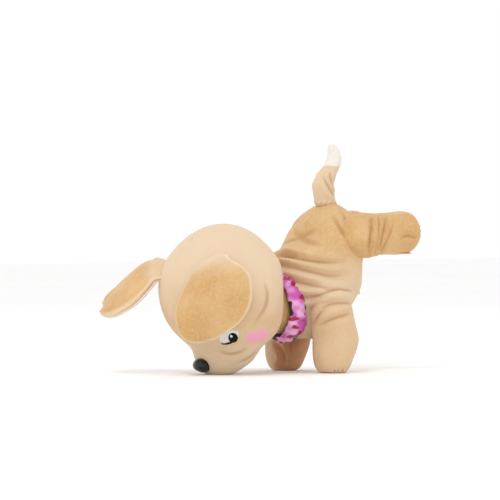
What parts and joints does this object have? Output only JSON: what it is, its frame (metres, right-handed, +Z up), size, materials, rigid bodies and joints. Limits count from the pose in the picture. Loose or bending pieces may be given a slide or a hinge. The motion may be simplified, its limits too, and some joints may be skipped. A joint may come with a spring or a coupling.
{
  "type": "interactive plush pet",
  "caption": "Battery-powered plush puppy in a handstand, with swinging front legs, kicking hind legs, nodding head, wagging tail and floppy ears.",
  "frame": {"origin": "bottom centre of the whole toy, on the surface it stands on", "axes": "+X from the muzzle towards the hind paws, +Y towards the dog's right side, +Z up"},
  "size_m": [0.3653, 0.2151, 0.2745],
  "materials": {
    "tan_plush": "matte",
    "white_plush": "matte",
    "paw_pads": "matte",
    "scarf_satin": "satin",
    "nose_plastic": "gloss",
    "eye_thread": "satin",
    "chassis_plastic": "matte",
    "gear_plastic": "satin",
    "dark_plastic": "matte",
    "steel": "polished",
    "motor_can": "satin",
    "cell_sleeve": "gloss",
    "board": "matte",
    "speaker_black": "matte"
  },
  "bodies": {
    "torso": {"torso_plush": "tan_plush", "neck_plush": "tan_plush", "scarf": "scarf_satin", "chassis_left": "chassis_plastic", "chassis_right": "chassis_plastic", "chassis_screw_1": "steel", "chassis_screw_2": "steel", "chassis_screw_3": "steel", "neck_post": "chassis_plastic", "battery_tray": "dark_plastic", "battery_cell_1": "cell_sleeve", "battery_cell_2": "cell_sleeve", "battery_cell_3": "cell_sleeve", "circuit_board": "board", "speaker": "speaker_black", "kick_motor": "motor_can", "lift_motor": "motor_can", "switch_body": "dark_plastic", "tail_bracket": "chassis_plastic"},
    "switch_slider": {"power_switch": "dark_plastic"},
    "flap": {"battery_flap": "tan_plush"},
    "door": {"battery_door": "dark_plastic"},
    "front_legs": {"shoulder_axle": "steel", "lift_output_gear": "gear_plastic", "front_leg_core_left": "chassis_plastic", "front_leg_core_right": "chassis_plastic", "front_leg_left": "tan_plush", "front_leg_right": "tan_plush", "front_paw_sole_left": "paw_pads", "front_paw_sole_right": "paw_pads"},
    "hind_legs": {"hip_axle": "steel", "kick_output_gear": "gear_plastic", "hind_leg_core_left": "chassis_plastic", "hind_leg_core_right": "chassis_plastic", "hind_leg_left": "tan_plush", "hind_leg_right": "tan_plush", "hind_paw_sole_left": "paw_pads", "hind_paw_sole_right": "paw_pads"},
    "head": {"head_plush": "tan_plush", "skull_left": "chassis_plastic", "skull_right": "chassis_plastic", "neck_pin": "steel", "nose": "nose_plastic", "eye_left": "eye_thread", "eye_right": "eye_thread"},
    "touch_button": {"head_touch_button": "dark_plastic"},
    "ear_left": {"ear_left_outer": "tan_plush", "ear_left_lining": "white_plush"},
    "ear_right": {"ear_right_outer": "tan_plush", "ear_right_lining": "white_plush"},
    "tail": {"tail_plush": "tan_plush", "tail_tip": "white_plush", "tail_spring": "steel"},
    "kick_wheel_1": {"kick_gear_1": "gear_plastic"},
    "kick_wheel_2": {"kick_gear_2": "gear_plastic"},
    "kick_motor_pinion": {"kick_pinion": "gear_plastic"},
    "lift_wheel_1": {"lift_gear_1": "gear_plastic"},
    "lift_wheel_2": {"lift_gear_2": "gear_plastic"},
    "lift_motor_pinion": {"lift_pinion": "gear_plastic"}
  },
  "joints": [
    {"name": "shoulder_swing", "type": "hinge", "parent": "torso", "child": "front_legs", "pos_m": [0.0624, -0.0143, 0.074], "axis": [0, -1, 0], "range_deg": [-10, 70]},
    {"name": "hip_kick", "type": "hinge", "parent": "torso", "child": "hind_legs", "pos_m": [0.0944, -0.0143, 0.162], "axis": [0, -1, 0], "range_deg": [-25, 25]},
    {"name": "head_nod", "type": "hinge", "parent": "torso", "child": "head", "pos_m": [0.0044, -0.0143, 0.084], "axis": [0, 1, 0], "range_deg": [-10, 12]},
    {"name": "ear_left_flop", "type": "hinge", "parent": "head", "child": "ear_left", "pos_m": [-0.12, -0.0678, 0.1273], "axis": [-0.6211, 0.6612, -0.4208], "range_deg": [0, 35]},
    {"name": "ear_right_flop", "type": "hinge", "parent": "head", "child": "ear_right", "pos_m": [-0.1256, 0.0312, 0.12], "axis": [0.6211, 0.6612, 0.4208], "range_deg": [-20, 16]},
    {"name": "tail_wag", "type": "hinge", "parent": "torso", "child": "tail", "pos_m": [0.0864, -0.0143, 0.196], "axis": [1, 0, 0], "range_deg": [-20, 20], "stiffness_Nm_per_rad": 0.03},
    {"name": "battery_flap_open", "type": "hinge", "parent": "torso", "child": "flap", "pos_m": [0.1164, -0.0143, 0.091], "axis": [0, 1, 0], "range_deg": [0, 100]},
    {"name": "battery_door_open", "type": "hinge", "parent": "torso", "child": "door", "pos_m": [0.1144, -0.0143, 0.098], "axis": [0, 1, 0], "range_deg": [0, 70]},
    {"name": "power_switch_slide", "type": "slide", "parent": "torso", "child": "switch_slider", "axis": [0, 1, 0], "range_m": [0, 0.004]},
    {"name": "head_touch_press", "type": "slide", "parent": "head", "child": "touch_button", "axis": [0.866, 0, -0.5], "range_m": [0, 0.002], "stiffness_N_per_m": 300, "springref_m": -0.001},
    {"name": "kick_wheel_2_spin", "type": "hinge", "parent": "torso", "child": "kick_wheel_2", "pos_m": [0.0772, -0.0143, 0.1673], "axis": [0, -1, 0], "range_deg": [-90, 90]},
    {"name": "kick_wheel_1_spin", "type": "hinge", "parent": "torso", "child": "kick_wheel_1", "pos_m": [0.0689, -0.0143, 0.1536], "axis": [0, -1, 0], "range_deg": [-270, 270]},
    {"name": "kick_pinion_spin", "type": "hinge", "parent": "torso", "child": "kick_motor_pinion", "pos_m": [0.0599, -0.0143, 0.1404], "axis": [0, -1, 0], "range_deg": [-800, 800]},
    {"name": "lift_wheel_2_spin", "type": "hinge", "parent": "torso", "child": "lift_wheel_2", "pos_m": [0.0489, -0.0143, 0.0859], "axis": [0, -1, 0], "range_deg": [-250, 40]},
    {"name": "lift_wheel_1_spin", "type": "hinge", "parent": "torso", "child": "lift_wheel_1", "pos_m": [0.0529, -0.0143, 0.1014], "axis": [0, -1, 0], "range_deg": [-110, 740]},
    {"name": "lift_pinion_spin", "type": "hinge", "parent": "torso", "child": "lift_motor_pinion", "pos_m": [0.0494, -0.0143, 0.117], "axis": [0, -1, 0], "range_deg": [-2210, 320]}
  ],
  "couplings": [
    {"joint": "battery_door_open", "follows": "battery_flap_open", "ratio": 0.7},
    {"joint": "kick_wheel_2_spin", "follows": "hip_kick", "ratio": -3.5},
    {"joint": "kick_wheel_1_spin", "follows": "hip_kick", "ratio": 10.5},
    {"joint": "kick_pinion_spin", "follows": "hip_kick", "ratio": -31.5},
    {"joint": "lift_wheel_2_spin", "follows": "shoulder_swing", "ratio": -3.5},
    {"joint": "lift_wheel_1_spin", "follows": "shoulder_swing", "ratio": 10.5},
    {"joint": "lift_pinion_spin", "follows": "shoulder_swing", "ratio": -31.5}
  ]
}
